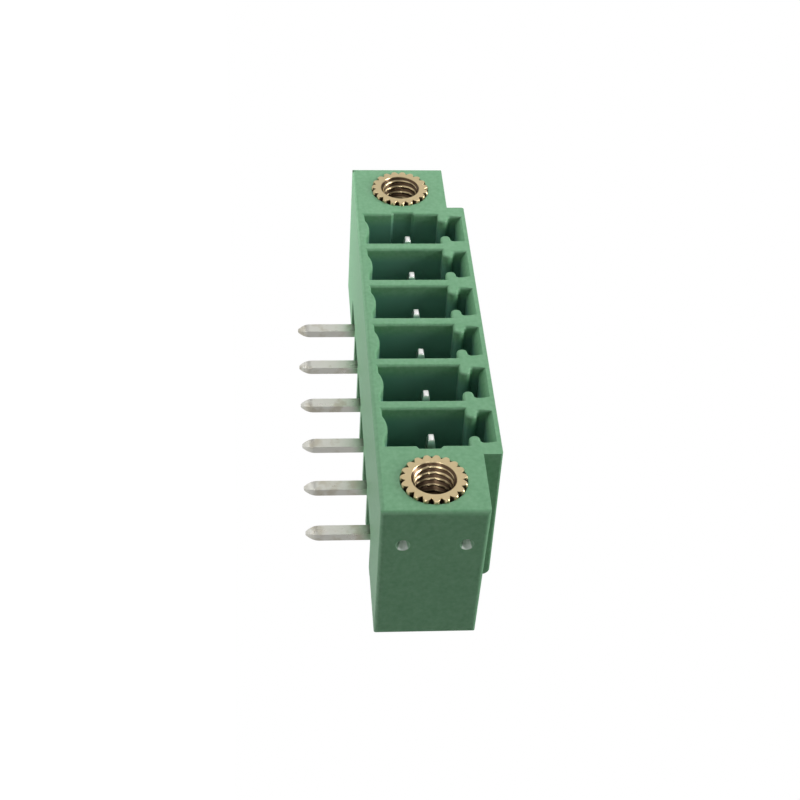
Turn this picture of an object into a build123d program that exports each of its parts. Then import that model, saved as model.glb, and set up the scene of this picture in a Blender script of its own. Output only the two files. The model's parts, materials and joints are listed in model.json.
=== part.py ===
from build123d import *
from math import atan, degrees
import os

# Right-angled board header for a pluggable terminal block: a plastic housing, a row of bent
# contact pins and a threaded brass insert in each end flange. Lengths are in millimetres.
# X runs along the row, -Y is the way the plug comes from and +Z points away from the board.
# The origin is on the board, in the middle of the row of solder pins.

# The row
pole_count = 6
pitch = 3.81

# Housing
partition = 0.75
end_wall = 0.8
flange_length = 4.57
mouth_reach = 8.45
body_back_reach = 1.35
flange_rear_inset = 0.1
body_height = 7.1
flange_mouth_step = 1.1
flange_back_step = 1.3
outer_round = 0.3
body_rear_round = 0.45
body_top_round = 0.15

# Contact chambers, open at the mouth
board_wall = 0.55
top_wall = 0.6
rear_wall = 0.85
bump_margin = 0.53
bump_height = 0.24
coding_groove_depth = 0.21
coding_groove_height = 1.48
coding_groove_floor = 1.17
coding_groove_drop = 0.24

# Latch slots above the chambers, behind a pair of ribs
rib_height = 0.65
rib_length = 0.78
rib_round = 0.3
rib_root_round = 0.2
latch_slot_inset = 0.23
latch_slot_height = 0.55
mouth_top_wall = 0.25
lead_in_depth = 0.6

# Rear recesses around the bent pins, open at the back and towards the board
recess_reach = 1.45
recess_headroom = 0.58

# Contact pins
wire_width = 0.8
wire_thickness = 0.5
pin_height = 3.3
contact_recess = 0.8
solder_length = 3.72
bend_radius = 0.3
contact_nose_length = 0.6
contact_nose_share = 0.6
solder_nose_length = 0.8
solder_nose_share = 0.25
pin_hole_clearance = 0.01

# Threaded inserts
insert_shift = 0.24
insert_lift = 0.05
insert_radius = 1.866
insert_length = 5.8
insert_proud = 0.18
insert_clearance = 0.01
thread_bore_radius = 1.05
countersink_radius = 1.36
countersink_angle = 90
knurl_teeth = 19
knurl_depth = 0.22
knurl_gap = 0.36
groove_length = 0.8
groove_depth = 0.35
screw_pocket_radius = 1.4
screw_pocket_depth = 1.2

# Conical pits in the end faces
pit_radius = 0.4
pit_depth = 0.58
pit_tip_radius = 0.06
pit_spacing = 3.5
pit_inset = 2.45

# Lengths that follow from the sizes above
chamber_width = pitch - partition
neck_width = chamber_width - 2 * rib_length
latch_slot_width = chamber_width - 2 * latch_slot_inset
bump_width = chamber_width - 2 * bump_margin
row_length = (pole_count - 1) * pitch
body_length = row_length + chamber_width + 2 * end_wall
total_length = body_length + 2 * flange_length
pole_places = [(pole - (pole_count - 1) / 2) * pitch for pole in range(pole_count)]
insert_x = (body_length + flange_length) / 2 - insert_shift
insert_places = {"left": -insert_x, "right": insert_x}
slot_top = body_height - top_wall
rib_top = slot_top - latch_slot_height
chamber_top = rib_top - rib_height
lead_in_height = top_wall - mouth_top_wall
coding_groove_centre = pin_height - coding_groove_drop
recess_height = pin_height + wire_thickness / 2 + recess_headroom
flange_mouth_height = body_height - flange_mouth_step
flange_back_height = body_height - flange_back_step
flange_back_reach = body_back_reach - flange_rear_inset
insert_height = flange_mouth_height / 2 + insert_lift
mouth_y = -mouth_reach
chamber_depth = mouth_reach - recess_reach - rear_wall
contact_tip_y = mouth_y + contact_recess
insert_face_y = mouth_y - insert_proud

# The mating face: local X is the row, local Y is the height, outwards is towards the plug
mating_plane = Plane.XZ.offset(mouth_reach)
os.makedirs("parts", exist_ok=True)


def is_at(value, distance):
    """True where a coordinate lies at this distance from the middle, on either side"""
    return abs(abs(value) - distance) < 0.001


def side_profile(corners, length):
    """A block along the row, drawn as a list of corners in the YZ plane"""
    with BuildPart() as block:
        with BuildSketch(Plane.YZ):
            with BuildLine():
                Polyline(*corners, close=True)
            make_face()
        extrude(amount=length / 2, both=True)
    return block.part


def chamber_profile():
    """Mouth of one contact chamber with its latch slot, centred on the pin"""
    with BuildSketch() as profile:
        with Locations((0, (board_wall + chamber_top) / 2)):
            Rectangle(chamber_width, chamber_top - board_wall)
        with Locations((0, chamber_top + rib_height / 2)):
            Rectangle(neck_width, rib_height)
        with Locations((0, (rib_top + slot_top) / 2)):
            Rectangle(latch_slot_width, latch_slot_height)
        slot_roots = [v for v in profile.vertices() if v.Y < slot_top and is_at(v.X, latch_slot_width / 2)]
        fillet(slot_roots, rib_root_round)
        rib_corners = [v for v in profile.vertices() if is_at(v.X, neck_width / 2)]
        fillet(rib_corners, rib_round)
        with BuildSketch(mode=Mode.SUBTRACT):
            with BuildLine():
                bump_base = Line((-bump_width / 2, board_wall), (bump_width / 2, board_wall))
                ThreePointArc(bump_base @ 0, (0, board_wall + bump_height), bump_base @ 1)
            make_face()
    return profile.sketch


def coding_groove_profile(side):
    """Groove in the outer wall of the last chamber on one side of the row"""
    wall_x = side * (row_length + chamber_width) / 2
    floor_x = wall_x + side * coding_groove_depth
    with BuildSketch() as profile:
        with BuildLine():
            Polyline(
                (wall_x, coding_groove_centre - coding_groove_height / 2),
                (floor_x, coding_groove_centre - coding_groove_floor / 2),
                (floor_x, coding_groove_centre + coding_groove_floor / 2),
                (wall_x, coding_groove_centre + coding_groove_height / 2),
                close=True,
            )
        make_face()
    return profile.sketch


def leg_outline(length, nose_length, nose_share, span):
    """Outline of one leg along +X, as wide as span and with a rounded nose that ends at a share of it"""
    with BuildSketch() as outline:
        with BuildLine():
            upper = Line((0, span / 2), (length - nose_length, span / 2))
            TangentArc(upper @ 1, (length, nose_share * span / 2), tangent=(1, 0))
            Line((length, nose_share * span / 2), (length, -nose_share * span / 2))
            lower = Line((0, -span / 2), (length - nose_length, -span / 2))
            TangentArc(lower @ 1, (length, -nose_share * span / 2), tangent=(1, 0))
            Line((0, span / 2), (0, -span / 2))
        make_face()
    return outline.sketch


def wire_leg(length, nose_length, nose_share):
    """Straight leg of flat wire along +X, with its width along Y and its nose rounded on all four sides"""
    with BuildPart() as leg:
        with BuildSketch(Plane.XY):
            add(leg_outline(length, nose_length, nose_share, wire_width))
        extrude(amount=wire_thickness / 2, both=True)
        with BuildSketch(Plane.XZ):
            add(leg_outline(length, nose_length, nose_share, wire_thickness))
        extrude(amount=wire_width / 2, both=True, mode=Mode.INTERSECT)
    return leg.part


body = side_profile(
    [(mouth_y, 0), (body_back_reach, 0), (body_back_reach, body_height), (mouth_y, body_height)],
    body_length,
)
flanges = side_profile(
    [
        (mouth_y, 0),
        (flange_back_reach, 0),
        (flange_back_reach, flange_back_height),
        (mouth_y, flange_mouth_height),
    ],
    total_length,
)
chamber_mouth = chamber_profile()
coding_grooves = [coding_groove_profile(side) for side in (-1, 1)]

# Housing
with BuildPart() as housing:
    add(body)
    body_rear = housing.edges().filter_by(Axis.X).group_by(Axis.Z)[-1].sort_by(Axis.Y)[-1]
    fillet(body_rear, body_rear_round)
    add(flanges)
    end_faces = housing.faces().filter_by(Axis.X).sort_by(Axis.X)
    fillet(end_faces[0].edges() + end_faces[-1].edges(), outer_round)
    body_top_edges = housing.edges().filter_by(Axis.Y).group_by(Axis.Z)[-1]
    fillet(body_top_edges, body_top_round)

    # Chambers and latch slots
    with BuildSketch(mating_plane):
        with Locations(*[(x, 0) for x in pole_places]):
            add(chamber_mouth)
        add(coding_grooves)
    extrude(amount=-chamber_depth, mode=Mode.SUBTRACT)

    # Lead-in slope at the mouth of each latch slot
    for x in pole_places:
        with BuildSketch(Plane.YZ.offset(x)):
            with BuildLine():
                Polyline(
                    (mouth_y, slot_top),
                    (mouth_y, slot_top + lead_in_height),
                    (mouth_y + lead_in_depth, slot_top),
                    close=True,
                )
            make_face()
        extrude(amount=latch_slot_width / 2, both=True, mode=Mode.SUBTRACT)

    # Rear recesses, and the holes that the pins are pressed through
    with BuildSketch(Plane.XZ.offset(-body_back_reach)):
        with Locations(*[(x, recess_height / 2) for x in pole_places]):
            Rectangle(chamber_width, recess_height)
    extrude(amount=body_back_reach + recess_reach, mode=Mode.SUBTRACT)
    with BuildSketch(Plane.XZ.offset(recess_reach)):
        with Locations(*[(x, pin_height) for x in pole_places]):
            Rectangle(wire_width + 2 * pin_hole_clearance, wire_thickness + 2 * pin_hole_clearance)
    extrude(amount=rear_wall, mode=Mode.SUBTRACT)

    # Seats of the threaded inserts, with room for the screw behind them
    with BuildSketch(mating_plane):
        with Locations(*[(x, insert_height) for x in insert_places.values()]):
            Circle(insert_radius + insert_clearance)
    extrude(amount=insert_proud - insert_length, mode=Mode.SUBTRACT)
    with BuildSketch(mating_plane.offset(insert_proud - insert_length)):
        with Locations(*[(x, insert_height) for x in insert_places.values()]):
            Circle(screw_pocket_radius)
    extrude(amount=-screw_pocket_depth, mode=Mode.SUBTRACT)

    # Conical pits in the two end faces
    pit_slope = degrees(atan((pit_radius - pit_tip_radius) / pit_depth))
    for side in (-1, 1):
        with BuildSketch(Plane.YZ.offset(side * total_length / 2)):
            with Locations((mouth_y + pit_inset, insert_height)):
                with Locations((0, -pit_spacing / 2), (0, pit_spacing / 2)):
                    Circle(pit_radius)
        extrude(amount=-side * pit_depth, taper=pit_slope, mode=Mode.SUBTRACT)
housing.part.label = "housing"
export_step(housing.part, "parts/housing.step")

# Contact pins, each bent once around an axis that lies along the row
bend_centre_radius = bend_radius + wire_thickness / 2
contact_leg = wire_leg(-contact_tip_y - bend_centre_radius, contact_nose_length, contact_nose_share)
solder_leg = wire_leg(
    pin_height - bend_centre_radius + solder_length, solder_nose_length, solder_nose_share
)
for pole, x in enumerate(pole_places, start=1):
    contact_root = Plane(origin=(x, -bend_centre_radius, pin_height), x_dir=(0, -1, 0), z_dir=(0, 0, 1))
    solder_root = Plane(origin=(x, 0, pin_height - bend_centre_radius), x_dir=(0, 0, -1), z_dir=(0, 1, 0))
    bend_axis = Axis((x, -bend_centre_radius, pin_height - bend_centre_radius), (1, 0, 0))
    with BuildPart() as contact_pin:
        add(contact_leg.moved(contact_root.location))
        with BuildSketch(Plane.XY.offset(pin_height - bend_centre_radius)):
            with Locations((x, 0)):
                Rectangle(wire_width, wire_thickness)
        revolve(axis=bend_axis, revolution_arc=90)
        add(solder_leg.moved(solder_root.location))
    contact_pin.part.label = f"contact_pin_{pole}"
    export_step(contact_pin.part, f"parts/contact_pin_{pole}.step")

# Threaded inserts
for side, x in insert_places.items():
    insert_plane = Plane(origin=(x, insert_face_y, insert_height), x_dir=(1, 0, 0), z_dir=(0, -1, 0))
    with BuildPart() as insert:
        with BuildSketch(insert_plane):
            Circle(insert_radius)
            with PolarLocations(insert_radius, knurl_teeth):
                Polygon(
                    (-knurl_depth, 0),
                    (0, -knurl_gap / 2),
                    (knurl_depth, 0),
                    (0, knurl_gap / 2),
                    align=None,
                    mode=Mode.SUBTRACT,
                )
        extrude(amount=-insert_length)

        # Groove in the middle that the plastic grips, between two knurled bands
        with BuildSketch(insert_plane.offset(-(insert_length - groove_length) / 2)):
            Circle(2 * insert_radius)
            Circle(insert_radius - groove_depth, mode=Mode.SUBTRACT)
        extrude(amount=-groove_length, mode=Mode.SUBTRACT)
        with Locations(insert_plane):
            CounterSinkHole(
                thread_bore_radius,
                countersink_radius,
                depth=insert_length,
                counter_sink_angle=countersink_angle,
            )
    insert.part.label = f"insert_{side}"
    export_step(insert.part, f"parts/insert_{side}.step")
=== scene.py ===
"""Looks of a right-angled board header for a pluggable terminal block.

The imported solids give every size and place. The housing and the contact pins are finished copies of
their solids, with softened edges and rounded lips. The brass inserts are modelled here, with their knurl
and thread.
"""
import json
import math

import bmesh
import bpy
from mathutils import Matrix, Vector


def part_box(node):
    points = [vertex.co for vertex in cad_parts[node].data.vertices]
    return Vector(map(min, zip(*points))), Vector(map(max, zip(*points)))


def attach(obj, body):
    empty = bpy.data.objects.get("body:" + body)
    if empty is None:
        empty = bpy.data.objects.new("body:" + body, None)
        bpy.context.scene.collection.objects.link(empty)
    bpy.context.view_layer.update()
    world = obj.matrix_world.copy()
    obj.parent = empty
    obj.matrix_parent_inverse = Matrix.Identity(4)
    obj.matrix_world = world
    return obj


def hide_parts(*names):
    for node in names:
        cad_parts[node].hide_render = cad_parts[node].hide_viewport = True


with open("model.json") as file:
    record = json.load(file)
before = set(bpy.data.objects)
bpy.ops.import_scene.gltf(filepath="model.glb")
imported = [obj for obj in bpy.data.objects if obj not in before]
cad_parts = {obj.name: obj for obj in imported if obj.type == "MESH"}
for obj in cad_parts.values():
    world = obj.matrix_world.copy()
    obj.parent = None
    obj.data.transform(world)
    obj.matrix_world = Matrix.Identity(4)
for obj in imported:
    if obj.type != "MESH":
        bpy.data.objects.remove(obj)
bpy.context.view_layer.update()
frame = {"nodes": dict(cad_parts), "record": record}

bl_info = {
    "name": "Board header",
    "version": (1, 0, 0),
    "blender": (4, 5, 0),
    "location": "3D View > Sidebar > Header",
    "description": "Dresses a board header with threaded flanges in moulded plastic, tin and brass",
    "category": "Add Mesh",
}

MM = 0.001
MOUNTS = {mount["name"]: mount for mount in frame["record"]["mounts"]}
CONTACT_PINS = sorted(name for name in frame["nodes"] if name.startswith("contact_pin_"))
INSERTS = {"insert_left": "insert_thread_left", "insert_right": "insert_thread_right"}

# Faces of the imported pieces: the mating face, the board side, the end faces, the top and the contact tips
_, MOUTH_Y, BOARD_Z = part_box("housing")[0]
END_X, _, TOP_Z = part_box("housing")[1]
INSERT_LOW, INSERT_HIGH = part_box("insert_right")
TIP_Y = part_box(CONTACT_PINS[0])[0].y

# Places around the chambers: just outside the raised body, inside its end walls and inside its rear wall
BODY_END_X = 11.9 * MM
END_WALL_X = 11.5 * MM
REAR_WALL_Y = -1.9 * MM

# Reach of the thin lip below the top, and how close to a face an edge lies in it
THIN_LIP = 0.45 * MM
ON_FACE = 0.01 * MM

# Turns of an edge in degrees: of a sharp one, of the slightest one on a nose, and of one within a flat face
SHARP_TURN = 40
SLIGHT_TURN = 6
FLAT_TURN = 0.6

# Fineness of the inserts: steps around each tooth, and rings along each turn of the thread
STEPS_PER_TOOTH = 8
RINGS_PER_TURN = 12


def length(name, description, default):
    """A size of the object that a user can set, in metres"""
    return bpy.props.FloatProperty(
        name=name, description=description, default=default, unit="LENGTH", subtype="DISTANCE", precision=5
    )


def colour(name, description, default):
    """A colour that a user can set"""
    return bpy.props.FloatVectorProperty(
        name=name, description=description, default=default, size=3, subtype="COLOR", min=0.0, max=1.0
    )


def vector(name, description, default):
    """A place in metres, or a direction, that a user can set"""
    return bpy.props.FloatVectorProperty(name=name, description=description, default=default, subtype="XYZ")


class HousingLooks(bpy.types.PropertyGroup):
    """Sizes and colours of the moulded housing"""

    edge_round: length("Edge round", "Radius of the softened edges of the moulding", 0.1 * MM)
    grain: length("Grain", "Width of the grains on the moulded skin", 0.05 * MM)
    mottle: length("Mottle", "Width of the faint clouds in the plastic", 1.1 * MM)
    pit_radius: length("Pit radius", "Radius of the conical pits in the two end faces", 0.4 * MM)
    pit_depth: length("Pit depth", "Depth of the pits", 0.58 * MM)
    pit_inset: length("Pit inset", "Distance of the pits from the mating face", 2.45 * MM)
    pit_spacing: length("Pit spacing", "Distance between the two pits of one end face", 3.5 * MM)
    speckle: length("Speckle", "Width of the fine specks in the plastic", 0.24 * MM)
    mouth_round: length("Mouth round", "Radius of the edges of the chambers' mouths", 0.16 * MM)
    rim_round: length("Rim round", "Radius of the outer edges around the mouth", 0.25 * MM)
    green: colour("Green", "Colour of the plastic", (0.077, 0.25, 0.112))
    pale_green: colour("Pale green", "Colour of the lighter clouds in the plastic", (0.213, 0.415, 0.248))
    # Painted shade colour for the walls deep in the chambers
    painted_shade_green: colour("Painted shade green", "Colour of the painted shade deep in the chambers", (0.11, 0.275, 0.2))
    # Painted light: the pits are lightened against their own shade, and the wedge is whitened plastic
    # lightened further
    painted_light_pit_green: colour("Painted light pit green", "Colour of the plastic inside the pits, lightened as painted light against their shade", (0.24, 0.44, 0.28))
    whitened_and_painted_light_green: colour("Whitened and painted light green", "Colour of the wedge in each pit, whitened plastic lightened further as painted light", (0.86, 0.95, 0.87))


class ContactLooks(bpy.types.PropertyGroup):
    """Sizes and colours of the tinned contact pins"""

    edge_round: length("Edge round", "Radius of the edges of the drawn wire", 0.05 * MM)
    streak: length("Streak", "Width of the drawing marks along the wire", 0.06 * MM)
    stain: length("Stain", "Width of the dull stains on the wire", 0.9 * MM)
    nose_round: length("Nose round", "Radius where the wire starts to narrow at its ends", 0.35 * MM)
    tin: colour("Tin", "Colour of the tin plating", (0.76, 0.755, 0.7))
    dull_tin: colour("Dull tin", "Colour of the tin plating where it has dulled", (0.64, 0.63, 0.57))
    stained_tin: colour("Stained tin", "Colour of the brownish stains", (0.5, 0.46, 0.36))
    # Painted highlight colour for the contact tips
    painted_highlight_tin: colour("Painted highlight tin", "Colour of the painted highlight on the contact tips", (0.95, 0.95, 0.93))
    # Painted reflection of the green housing on the wire
    painted_green_reflection: colour("Painted green reflection", "Colour of the painted reflection of the green plastic on the wire", (0.3, 0.44, 0.3))


class InsertLooks(bpy.types.PropertyGroup):
    """Sizes and colours of the threaded brass inserts"""

    teeth: bpy.props.IntProperty(name="Teeth", description="Number of teeth of the knurl", default=19, min=3)
    tooth_depth: length("Tooth depth", "Depth of the gaps between the teeth", 0.26 * MM)
    tooth_gap: length("Tooth gap", "Width of the gap between two teeth at their tips", 0.4 * MM)
    rim_chamfer: length("Rim chamfer", "Width of the chamfer around the visible rim", 0.05 * MM)
    mouth_radius: length("Mouth radius", "Radius of the countersunk mouth of the thread", 1.28 * MM)
    thread_pitch: length("Thread pitch", "Distance from one turn of the thread to the next", 0.45 * MM)
    thread_depth: length("Thread depth", "Depth of the thread", 0.2 * MM)
    groove_length: length("Groove length", "Length of the groove between the two knurled bands", 0.8 * MM)
    groove_depth: length("Groove depth", "Depth of that groove", 0.35 * MM)
    brass: colour("Brass", "Colour of the clean brass", (0.68, 0.55, 0.32))
    dull_brass: colour("Dull brass", "Colour of the brass where it has dulled", (0.58, 0.46, 0.26))
    # Painted shade colour for the thread
    painted_shade_brass: colour("Painted shade brass", "Colour of the painted shade inside the thread", (0.1, 0.065, 0.04))


class StageLooks(bpy.types.PropertyGroup):
    """Floor, light and camera"""

    floor_drop: length("Floor drop", "Height of the board's surface above the floor", 34 * MM)
    floor_size: length("Floor size", "Width of the floor", 3.0)
    floor_paint: colour("Floor paint", "Colour of the floor, on top of its own glow", (0.62, 0.62, 0.62))
    lens: bpy.props.FloatProperty(
        name="Lens", description="Focal length of the camera in millimetres", default=78.44
    )
    rise: bpy.props.FloatProperty(
        name="Rise", description="Vertical shift of the camera as a share of the picture", default=0.01875
    )
    camera_place: vector("Camera place", "Where the camera stands", (0.08202, -0.07406, -0.00658))
    camera_aim: vector("Camera aim", "A point in the middle of the view", (0.00025, -0.00105, 0.00247))
    picture_up: vector("Picture up", "Direction that is up in the picture", (-0.6655, -0.7464, 0.0083))


class Signal:
    """An output socket of a shader node, on which sums are written as plain expressions"""

    def __init__(self, net, socket):
        self.net = net
        self.socket = socket

    def math(self, operation, other):
        return self.net.node("ShaderNodeMath", {"operation": operation}, {0: self, 1: other})

    def __add__(self, other):
        return self.math("ADD", other)

    def __sub__(self, other):
        return self.math("SUBTRACT", other)

    def __mul__(self, other):
        return self.math("MULTIPLY", other)

    def __rsub__(self, other):
        return self.net.node("ShaderNodeMath", {"operation": "SUBTRACT"}, {0: other, 1: self})

    def __abs__(self):
        return self.net.node("ShaderNodeMath", {"operation": "ABSOLUTE"}, {0: self})

    def at_least(self, other):
        """The larger of two values"""
        return self.math("MAXIMUM", other)

    def at_most(self, limit, blur):
        """1 where the value is below a limit and 0 above it, with a soft change as wide as blur"""
        low = limit - blur / 2
        high = limit + blur / 2
        return self.net.node(
            "ShaderNodeMapRange",
            {"interpolation_type": "SMOOTHSTEP"},
            {"Value": self, "From Min": low, "From Max": high, "To Min": 1.0, "To Max": 0.0},
        )

    __radd__ = __add__
    __rmul__ = __mul__


class ShaderNet:
    """The node tree of one material or of the world"""

    def __init__(self, owner):
        owner.use_nodes = True
        self.tree = owner.node_tree
        self.tree.nodes.clear()

    def node(self, kind, settings=None, inputs=None, output=0):
        """Adds one node, sets it up, fills or links its inputs and returns one of its outputs"""
        made = self.tree.nodes.new(kind)
        for name, value in (settings or {}).items():
            setattr(made, name, value)
        for name, value in (inputs or {}).items():
            if isinstance(value, Signal):
                self.tree.links.new(value.socket, made.inputs[name])
            else:
                made.inputs[name].default_value = value
        return Signal(self, made.outputs[output]) if made.outputs else None

    def place(self):
        """Object coordinates, in metres"""
        return self.node("ShaderNodeTexCoord", output="Object")

    def axes(self, place):
        """The three coordinates of a place, each a number"""
        return [self.node("ShaderNodeSeparateXYZ", inputs={"Vector": place}, output=axis) for axis in "XYZ"]

    def distance(self, first, second):
        """Distance from the point where two coordinates are both zero"""
        return self.node("ShaderNodeMath", {"operation": "SQRT"}, {0: first * first + second * second})

    def noise(self, place, width, detail=2.0, stretch=(1.0, 1.0, 1.0)):
        """Soft noise whose clouds are about as wide as said, longer along an axis with a small stretch"""
        drawn = self.node("ShaderNodeMapping", inputs={"Vector": place, "Scale": stretch})
        settings = {"Vector": drawn, "Scale": 1.0 / width, "Detail": detail}
        return self.node("ShaderNodeTexNoise", inputs=settings)

    def straight(self):
        """1 for the rays that come straight from the camera"""
        return self.node("ShaderNodeLightPath", output="Is Camera Ray")

    def mirrored(self):
        """1 for the rays that show the surroundings in gloss or through glass"""
        gloss = self.node("ShaderNodeLightPath", output="Is Glossy Ray")
        through = self.node("ShaderNodeLightPath", output="Is Transmission Ray")
        return gloss.at_least(through) * (1.0 - self.straight())

    def seen(self):
        """1 for the rays that show the surroundings, straight or in gloss, and 0 for the others"""
        return self.straight() + self.mirrored()

    def blend(self, factor, first, second):
        """Mix of two colours, each a value or the output of a node"""
        first, second = (item if isinstance(item, Signal) else (*item, 1.0) for item in (first, second))
        return self.node("ShaderNodeMix", {"data_type": "RGBA"}, {0: factor, 6: first, 7: second}, output=2)

    def finish(self, shader, target="ShaderNodeOutputMaterial"):
        """Links a shader to the output"""
        self.node(target, inputs={"Surface": shader})

    def surface(self, colour, roughness, relief, strength, **more):
        """The surface of a solid material, with a fine relief that only shows in its shine"""
        bump = {"Strength": strength, "Distance": 0.01 * MM, "Height": relief}
        skin = self.node("ShaderNodeBump", inputs=bump)
        inputs = {"Base Color": colour, "Roughness": roughness, "Normal": skin, **more}
        self.finish(self.node("ShaderNodeBsdfPrincipled", inputs=inputs))


def pit_masks(net, axes, looks):
    """Two masks on the end faces: one for the pits, and one for a wedge that points to the mating face"""
    along, depth, height = axes
    from_middle = height - MOUNTS["insert_thread_left"]["pos_m"][2]
    across = abs(from_middle) - looks.pit_spacing / 2
    down = depth - (MOUTH_Y + looks.pit_inset)
    rightward = across * net.node("ShaderNodeMath", {"operation": "SIGN"}, {0: from_middle})

    def inside(right_share, down_share, reach):
        """1 on the inner side of a flank that faces a direction, at a reach from the pit's middle"""
        return (rightward * right_share + down * down_share).at_most(reach, 0.1 * MM)

    at_end = (END_X - abs(along)).at_most(1.1 * looks.pit_depth, 0.02 * MM)
    in_pit = net.distance(down, across).at_most(looks.pit_radius, 0.06 * MM) * at_end
    in_wedge = inside(-0.81, -0.58, 0.06 * MM) * inside(0.92, -0.39, 0.17 * MM)
    return in_pit, in_wedge


def chamber_shade_mask(axes):
    """1 on the walls deep in the chambers, where painted shade goes, and 0 on the rest of the housing"""
    along, depth, height = axes
    between_ends = abs(along).at_most(END_WALL_X, 0.02 * MM)
    below_top = height.at_most(TOP_Z - 0.1 * MM, 0.05 * MM)
    in_board_wall = height.at_most(0.4 * MM, 0.2 * MM)
    before_pins = depth.at_most(REAR_WALL_Y, 0.1 * MM)
    near_mouth = depth.at_most(MOUTH_Y + 0.7 * MM, 0.9 * MM)
    return between_ends * (below_top - in_board_wall) * (before_pins - near_mouth)


def moulded_green(looks):
    """Satin green plastic with a fine grain, faint clouds and specks, with painted shade deep in the
    chambers and painted light in the pits
    """
    material = bpy.data.materials.new("moulded_green")
    net = ShaderNet(material)
    place = net.place()
    axes = net.axes(place)
    clouds = net.noise(place, looks.mottle, detail=4.0)
    speckle = net.noise(place, looks.speckle, detail=2.0)
    grain = net.noise(place, looks.grain, detail=3.0)
    in_pit, in_wedge = pit_masks(net, axes, looks)
    paleness = clouds * 0.3 + speckle * 0.7
    green = net.blend(paleness, looks.green, looks.pale_green)
    # Painted shade: a bluer green on the walls deep in the chambers
    green = net.blend(chamber_shade_mask(axes), green, looks.painted_shade_green)
    # Painted light: the pits are lightened against their own shade, and the wedge is whitened plastic
    # lightened further as painted light
    pit_colour = net.blend(in_wedge, looks.painted_light_pit_green, looks.whitened_and_painted_light_green)
    net.surface(net.blend(in_pit, green, pit_colour), clouds * 0.1 + 0.42, grain, 0.12, IOR=1.46)
    return material


def tinned_wire(looks):
    """Matt tin plating with drawing marks and stains, a painted highlight at the tips and a painted green
    reflection by the housing
    """
    material = bpy.data.materials.new("tinned_wire")
    net = ShaderNet(material)
    place = net.place()
    _, depth, height = net.axes(place)
    clouds = net.noise(place, 6 * looks.streak, detail=4.0, stretch=(1.0, 0.3, 0.3))
    streaks = net.noise(place, looks.streak, detail=2.0, stretch=(1.0, 0.15, 0.15))
    stains = 1.0 - net.noise(place, looks.stain, detail=3.0).at_most(0.56, 0.2)
    # Painted highlight: near-white tin on the contact tips
    tip_highlight = (depth - TIP_Y).at_most(0.25 * MM, 0.3 * MM)
    # Painted reflection: the green of the housing on the wire near the board side
    reflection_by_housing = abs(height).at_most(0.35 * MM, 0.9 * MM)
    plating = net.blend(clouds, looks.dull_tin, looks.tin)
    plating = net.blend(stains * 0.7, plating, looks.stained_tin)
    plating = net.blend(reflection_by_housing * 0.6, plating, looks.painted_green_reflection)
    plating = net.blend(tip_highlight, plating, looks.painted_highlight_tin)
    net.surface(plating, clouds * 0.15 + 0.22, streaks, 0.15, Metallic=1.0)
    return material


def turned_brass(looks):
    """Dull brass, with painted shade in the thread apart from the crests near its mouth"""
    material = bpy.data.materials.new("turned_brass")
    net = ShaderNet(material)
    place = net.place()
    along, depth, height = net.axes(place)
    axis_x, _, axis_z = MOUNTS["insert_thread_right"]["pos_m"]
    bore = MOUNTS["insert_thread_right"]["dims"]["r_mm"] * MM
    teeth_radius = (INSERT_HIGH.z - INSERT_LOW.z) / 2
    from_axis = net.distance(abs(along) - axis_x, height - axis_z)
    below_face = depth - INSERT_LOW.y
    at_face = below_face.at_most(0.03 * MM, 0.03 * MM)
    at_teeth = 1.0 - from_axis.at_most(teeth_radius - 0.07 * MM, 0.05 * MM)
    # Painted shade: the brass is dark in the thread's roots and deep in the bore, clean only on the crests
    # near the mouth
    crest = from_axis.at_most(bore + 0.33 * looks.thread_depth, 0.05 * MM)
    shallow = below_face.at_most(1.4 * MM, 2.4 * MM)
    clouds = net.noise(place, 0.7 * MM, detail=5.0)
    scratches = net.noise(place, 0.05 * MM, detail=2.0)
    outside = net.blend(clouds, looks.dull_brass, looks.brass)
    in_bore = net.blend(crest * shallow, looks.painted_shade_brass, looks.brass)
    metal = net.blend(at_face.at_least(at_teeth), in_bore, outside)
    net.surface(metal, clouds * 0.15 + 0.25, scratches, 0.2, Metallic=1.0)
    return material


def merged_copy(node):
    """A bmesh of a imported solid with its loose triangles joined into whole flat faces"""
    shape = bmesh.new()
    shape.from_mesh(frame["nodes"][node].data)
    bmesh.ops.remove_doubles(shape, verts=shape.verts, dist=0.002 * MM)
    bmesh.ops.dissolve_limit(
        shape,
        angle_limit=math.radians(FLAT_TURN),
        use_dissolve_boundaries=False,
        verts=shape.verts,
        edges=shape.edges,
    )
    return shape


def round_edges(shape, edges, radius, segments=3, clamp=True):
    """Rounds the given edges, with a smaller radius all along where some neighbours are too close"""
    bmesh.ops.bevel(
        shape,
        geom=edges,
        offset=radius,
        offset_type="OFFSET",
        affect="EDGES",
        segments=segments,
        profile=0.5,
        material=-1,
        clamp_overlap=clamp,
    )


def turning_edges(shape, least_angle, most_angle=180):
    """The edges that turn by an angle between two limits, in degrees"""
    limits = math.radians(least_angle), math.radians(most_angle)
    return [edge for edge in shape.edges if limits[0] < edge.calc_face_angle(0.0) < limits[1]]


def all_at(edge, test):
    """Whether both ends of an edge pass a test"""
    return all(test(vert.co) for vert in edge.verts)


def at_mouth(edge):
    """Whether an edge lies in the mating face"""
    return all_at(edge, lambda place: place.y < MOUTH_Y + ON_FACE)


def on_rim(edge):
    """Whether an edge lies in an end face or in the board side"""
    on_end = all_at(edge, lambda place: END_X - abs(place.x) < ON_FACE)
    return on_end or all_at(edge, lambda place: place.z - BOARD_Z < ON_FACE)


def rim_edges(shape):
    """The outer edges of the mating face, on its two ends and its board side"""
    return [edge for edge in turning_edges(shape, SHARP_TURN) if at_mouth(edge) and on_rim(edge)]


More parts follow.
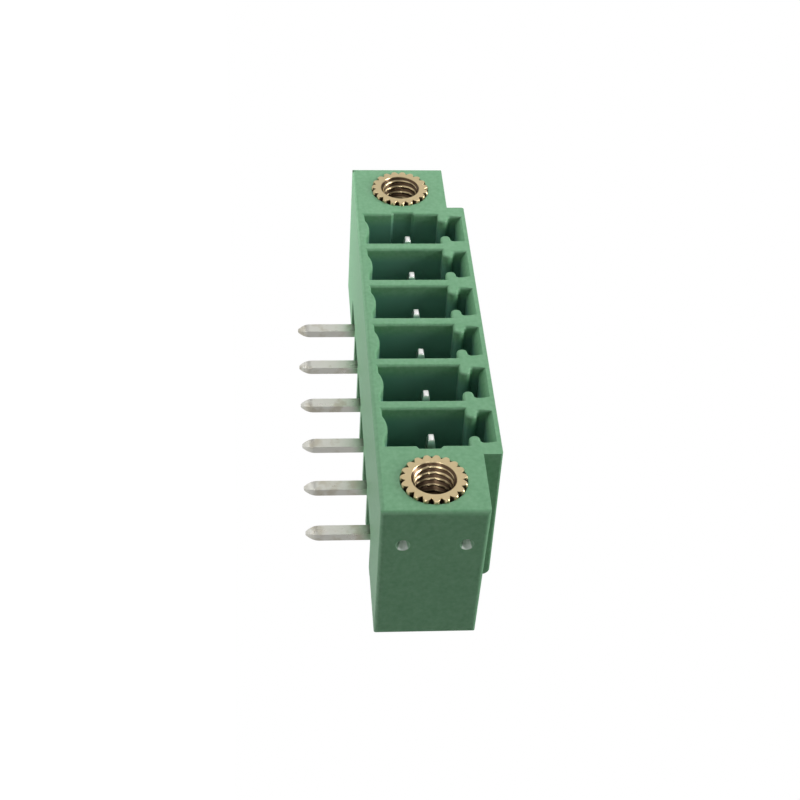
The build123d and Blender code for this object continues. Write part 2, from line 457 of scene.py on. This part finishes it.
def lip_edges(shape):
    """The edges of the chambers' mouths, apart from the thin lip above the latch slots"""
    return [
        edge
        for edge in turning_edges(shape, SHARP_TURN)
        if at_mouth(edge)
        and not on_rim(edge)
        and all_at(edge, lambda place: abs(place.x) < BODY_END_X)
        and not all_at(edge, lambda place: place.z > TOP_Z - THIN_LIP)
    ]


def nose_edges(shape):
    """The slight edges where the two free ends of a bent wire start to narrow"""
    front = min(vert.co.y for vert in shape.verts) + 1.0 * MM
    foot = min(vert.co.z for vert in shape.verts) + 1.2 * MM
    return [
        edge
        for edge in turning_edges(shape, SLIGHT_TURN, SHARP_TURN)
        if all_at(edge, lambda place: place.y < front) or all_at(edge, lambda place: place.z < foot)
    ]


def make_piece(name, shape, material, replaced, crease=35):
    """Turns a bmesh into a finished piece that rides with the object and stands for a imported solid"""
    for face in shape.faces:
        face.smooth = True
    for edge in shape.edges:
        edge.smooth = edge.calc_face_angle(0.0) < math.radians(crease)
    mesh = bpy.data.meshes.new(name)
    shape.to_mesh(mesh)
    shape.free()
    piece = bpy.data.objects.new(name, mesh)
    bpy.context.scene.collection.objects.link(piece)
    mesh.materials.append(material)
    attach(piece, "root")
    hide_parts(replaced)
    return piece


def keep_flat(piece):
    """Keeps the shading of flat faces flat beside their rounded edges"""
    normals = piece.modifiers.new("Flat faces stay flat", "WEIGHTED_NORMAL")
    normals.keep_sharp = True


class HEADER_OT_housing(bpy.types.Operator):
    """Finishes the moulded housing: softened edges and green plastic"""

    bl_idname = "header.housing"
    bl_label = "Housing"

    def execute(self, context):
        looks = context.scene.header_housing
        shape = merged_copy("housing")
        round_edges(shape, rim_edges(shape), looks.rim_round, segments=5)
        round_edges(shape, lip_edges(shape), looks.mouth_round, segments=4, clamp=False)
        round_edges(shape, turning_edges(shape, SHARP_TURN), looks.edge_round)
        bmesh.ops.dissolve_degenerate(shape, edges=shape.edges, dist=0.0002 * MM)
        piece = make_piece("moulded_housing", shape, moulded_green(looks), "housing")
        keep_flat(piece)
        return {"FINISHED"}


class HEADER_OT_contacts(bpy.types.Operator):
    """Finishes the contact pins: rounded wire edges and tin plating"""

    bl_idname = "header.contacts"
    bl_label = "Contact pins"

    def execute(self, context):
        looks = context.scene.header_contacts
        tin = tinned_wire(looks)
        for node in CONTACT_PINS:
            shape = merged_copy(node)
            round_edges(shape, nose_edges(shape), looks.nose_round, segments=5)
            round_edges(shape, turning_edges(shape, SHARP_TURN), looks.edge_round)
            piece = make_piece(node.replace("contact_pin", "tinned_pin"), shape, tin, node)
            keep_flat(piece)
        return {"FINISHED"}


def ring_stack(segments, rings):
    """A closed ring-shaped body, drawn as a stack of rings: each is a depth and a radius for every angle"""

    def turn(vert):
        return math.atan2(vert.co.y, vert.co.x) % (2 * math.pi)

    shape = bmesh.new()
    bmesh.ops.create_circle(shape, segments=segments, radius=1.0, cap_ends=False)
    verts = sorted(shape.verts, key=turn)
    angles = [turn(vert) for vert in verts]
    start = list(shape.edges)
    edges = start
    for number, (depth, radius) in enumerate(rings):
        if number:
            grown = bmesh.ops.extrude_edge_only(shape, edges=edges)["geom"]
            edges = [item for item in grown if isinstance(item, bmesh.types.BMEdge)]
            verts = sorted((item for item in grown if isinstance(item, bmesh.types.BMVert)), key=turn)
        for vert, angle in zip(verts, angles):
            reach = radius(angle)
            vert.co = Vector((reach * math.cos(angle), reach * math.sin(angle), -depth))
    bmesh.ops.bridge_loops(shape, edges=edges + start)
    bmesh.ops.recalc_face_normals(shape, faces=shape.faces)
    return shape


class HEADER_OT_inserts(bpy.types.Operator):
    """Models the brass inserts: knurled outside, countersunk mouth and thread"""

    bl_idname = "header.inserts"
    bl_label = "Threaded inserts"

    def execute(self, context):
        looks = context.scene.header_inserts
        brass = turned_brass(looks)
        for node, mount in INSERTS.items():
            low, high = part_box(node)
            radius = (high.z - low.z) / 2
            bore = MOUNTS[mount]["dims"]["r_mm"] * MM
            rings = insert_rings(looks, radius, bore, span=high.y - low.y)
            shape = ring_stack(looks.teeth * STEPS_PER_TOOTH, rings)
            centre = Vector((MOUNTS[mount]["pos_m"][0], low.y, (low.z + high.z) / 2))
            turn = Matrix.Rotation(math.radians(90), 4, "X")
            bmesh.ops.transform(shape, matrix=Matrix.Translation(centre) @ turn, verts=shape.verts)
            make_piece(node.replace("insert", "brass_insert"), shape, brass, node, crease=40)
        return {"FINISHED"}


def insert_rings(looks, radius, bore, span):
    """Rings of one insert, from the inner end of its bore to the mouth, and back along the knurl"""
    tooth_angle = 2 * math.pi / looks.teeth
    gap_share = looks.tooth_gap / (radius * tooth_angle)

    def knurl(shrink):
        """A ring of teeth with V-shaped gaps, whose tips are cut back by a shrink"""

        def reach(angle):
            phase = (angle / tooth_angle) % 1.0
            gap = max(0.0, 1.0 - abs(phase - 0.5) / (gap_share / 2))
            return radius - shrink - looks.tooth_depth * gap

        return reach

    def plain(value):
        """A round ring"""
        return lambda angle: value

    def thread(depth):
        """A helical groove with sloping flanks, a narrow root and a crest, opened by the countersink"""
        slope = 2.4
        crest = 0.1
        countersink = looks.mouth_radius - depth

        def reach(angle):
            phase = (depth / looks.thread_pitch - angle / (2 * math.pi)) % 1.0
            groove = min(1.0, max(0.0, slope * (0.5 - abs(phase - 0.5)) - crest))
            return max(bore + looks.thread_depth * groove, countersink)

        return reach

    steps = round(span / looks.thread_pitch * RINGS_PER_TURN)
    depths = [span * (1 - step / steps) for step in range(steps)]
    rings = [(depth, thread(depth)) for depth in depths]
    rings.append((0.0, plain(looks.mouth_radius)))
    rings.append((0.0, knurl(looks.rim_chamfer)))
    rings.append((looks.rim_chamfer, knurl(0.0)))
    band = (span - looks.groove_length) / 2
    rings.append((band, knurl(0.0)))
    rings.append((band, plain(radius - looks.groove_depth)))
    rings.append((span - band, plain(radius - looks.groove_depth)))
    rings.append((span - band, knurl(0.0)))
    rings.append((span, knurl(0.0)))
    return rings


class HEADER_OT_stage(bpy.types.Operator):
    """Sets up the floor, the soft studio light and the camera"""

    bl_idname = "header.stage"
    bl_label = "Stage"

    def execute(self, context):
        looks = context.scene.header_stage
        add_floor(looks)
        add_world()
        add_lamp("lamp from above", place=(0.018, -0.055, 0.13), size=0.06, power=0.164, in_gloss=True)
        add_lamp("lamp before the mouth", place=(-0.08, -0.115, 0.0), size=0.06, power=0.083)
        add_lamp("lamp at the far end", place=(-0.13, -0.05, 0.0), size=0.06, power=0.028)
        add_lamp("lamp under the board side", place=(-0.035, -0.006, -0.022), size=0.02, power=0.0115)
        add_glint("glint above the camera", place=(0.0964, -0.0757, 0.031), power=0.009)
        add_glint("glint below the camera", place=(0.0686, -0.058, -0.0276), power=0.009)
        add_lamp("lamp from behind", place=(-0.06, 0.12, 0.02), size=0.06, power=0.06)
        add_camera(looks)
        context.scene.view_settings.view_transform = "Standard"
        return {"FINISHED"}


def add_floor(looks):
    """White floor, well below the board that the header would stand on"""
    shape = bmesh.new()
    bmesh.ops.create_grid(shape, x_segments=1, y_segments=1, size=looks.floor_size / 2)
    bmesh.ops.translate(shape, vec=(0.0, 0.0, -looks.floor_drop), verts=shape.verts)
    mesh = bpy.data.meshes.new("floor")
    shape.to_mesh(mesh)
    shape.free()
    floor = bpy.data.objects.new("floor", mesh)
    bpy.context.scene.collection.objects.link(floor)
    material = bpy.data.materials.new("white_floor")
    net = ShaderNet(material)
    paint = net.node("ShaderNodeBsdfDiffuse", inputs={"Color": (*looks.floor_paint, 1.0)})
    along, depth, _ = net.axes(net.place())
    lamps_reach = 0.16
    lamps_fade = 0.3
    under_lamps = 0.35
    kept_from_gloss = 0.75
    near = net.distance(along, depth).at_most(lamps_reach, lamps_fade)
    brightness = (1.0 - near * under_lamps) * (1.0 - net.mirrored() * kept_from_gloss)
    glow = net.node("ShaderNodeEmission", inputs={"Color": (1.0, 1.0, 1.0, 1.0), "Strength": brightness})
    lit = net.node("ShaderNodeAddShader", inputs={0: paint, 1: glow})
    net.finish(net.node("ShaderNodeMixShader", inputs={0: net.seen(), 1: paint, 2: lit}))
    mesh.materials.append(material)


def add_world():
    """White for the camera, grey with two light sides for gloss, and a soft light from above for the rest"""
    world = bpy.data.worlds.new("white surroundings")
    bpy.context.scene.world = world
    net = ShaderNet(world)
    along, depth, height = net.axes(net.place())
    diagonal = (along + depth) * math.sqrt(0.5)
    far_left = (diagonal * -1.0).at_least(0.0)
    far_right = diagonal.at_least(0.0)
    above = height.at_least(0.0)
    left_light = 0.85
    right_light = 0.33
    grey = 0.2
    from_above = 0.6
    in_gloss = far_left * far_left * left_light + far_right * far_right * right_light + grey
    soft_light = above * above * from_above
    strength = net.straight() + net.mirrored() * in_gloss + (1.0 - net.seen()) * soft_light
    sky = net.node("ShaderNodeBackground", inputs={"Color": (1.0, 1.0, 1.0, 1.0), "Strength": strength})
    net.finish(sky, "ShaderNodeOutputWorld")


def add_lamp(name, place, size, power, in_gloss=False):
    """A soft square lamp that shines on the middle of the object and may show in gloss, but isn't seen"""
    light = bpy.data.lights.new(name, "AREA")
    light.size = size
    light.energy = power
    lamp = bpy.data.objects.new(name, light)
    bpy.context.scene.collection.objects.link(lamp)
    lamp.location = place
    lamp.rotation_euler = (-Vector(place)).to_track_quat("-Z", "Y").to_euler()
    lamp.visible_camera = False
    lamp.visible_glossy = in_gloss
    return lamp


def add_glint(name, place, power):
    """A small lamp that only shows in gloss, as bright points on the turns of the threads"""
    lamp = add_lamp(name, place, size=0.006, power=power, in_gloss=True)
    lamp.visible_diffuse = False


def add_camera(looks):
    """The camera at the photograph's angle"""
    place, aim = Vector(looks.camera_place), Vector(looks.camera_aim)
    back = (place - aim).normalized()
    right = Vector(looks.picture_up).cross(back).normalized()
    up = back.cross(right)
    data = bpy.data.cameras.new("camera")
    data.lens = looks.lens
    data.shift_y = looks.rise
    data.clip_start = 0.01
    camera = bpy.data.objects.new("camera", data)
    bpy.context.scene.collection.objects.link(camera)
    turn = Matrix((right, up, back)).transposed()
    camera.matrix_world = Matrix.LocRotScale(place, turn.to_quaternion(), None)
    bpy.context.scene.camera = camera


class HEADER_PT_panel(bpy.types.Panel):
    """Lists the pieces of the header and their settings"""

    bl_label = "Board header"
    bl_idname = "HEADER_PT_panel"
    bl_space_type = "VIEW_3D"
    bl_region_type = "UI"
    bl_category = "Header"

    def draw(self, context):
        for operator, settings in STEPS:
            box = self.layout.box()
            box.operator(operator.bl_idname)
            looks = getattr(context.scene, settings)
            for name in looks.bl_rna.properties.keys():
                if name not in ("rna_type", "name"):
                    box.prop(looks, name)


STEPS = (
    (HEADER_OT_housing, "header_housing"),
    (HEADER_OT_contacts, "header_contacts"),
    (HEADER_OT_inserts, "header_inserts"),
    (HEADER_OT_stage, "header_stage"),
)
SETTINGS = {
    "header_housing": HousingLooks,
    "header_contacts": ContactLooks,
    "header_inserts": InsertLooks,
    "header_stage": StageLooks,
}
CLASSES = (*SETTINGS.values(), *(operator for operator, settings in STEPS), HEADER_PT_panel)


def register():
    """Makes the classes and their settings known"""
    for cls in CLASSES:
        bpy.utils.register_class(cls)
    for name, group in SETTINGS.items():
        setattr(bpy.types.Scene, name, bpy.props.PointerProperty(type=group))


def unregister():
    """Takes the settings and the classes out again"""
    for name in SETTINGS:
        delattr(bpy.types.Scene, name)
    for cls in reversed(CLASSES):
        bpy.utils.unregister_class(cls)


def main():
    """Makes every piece and the stage"""
    register()
    bpy.ops.header.housing()
    bpy.ops.header.contacts()
    bpy.ops.header.inserts()
    bpy.ops.header.stage()


if __name__ == "__main__":
    main()
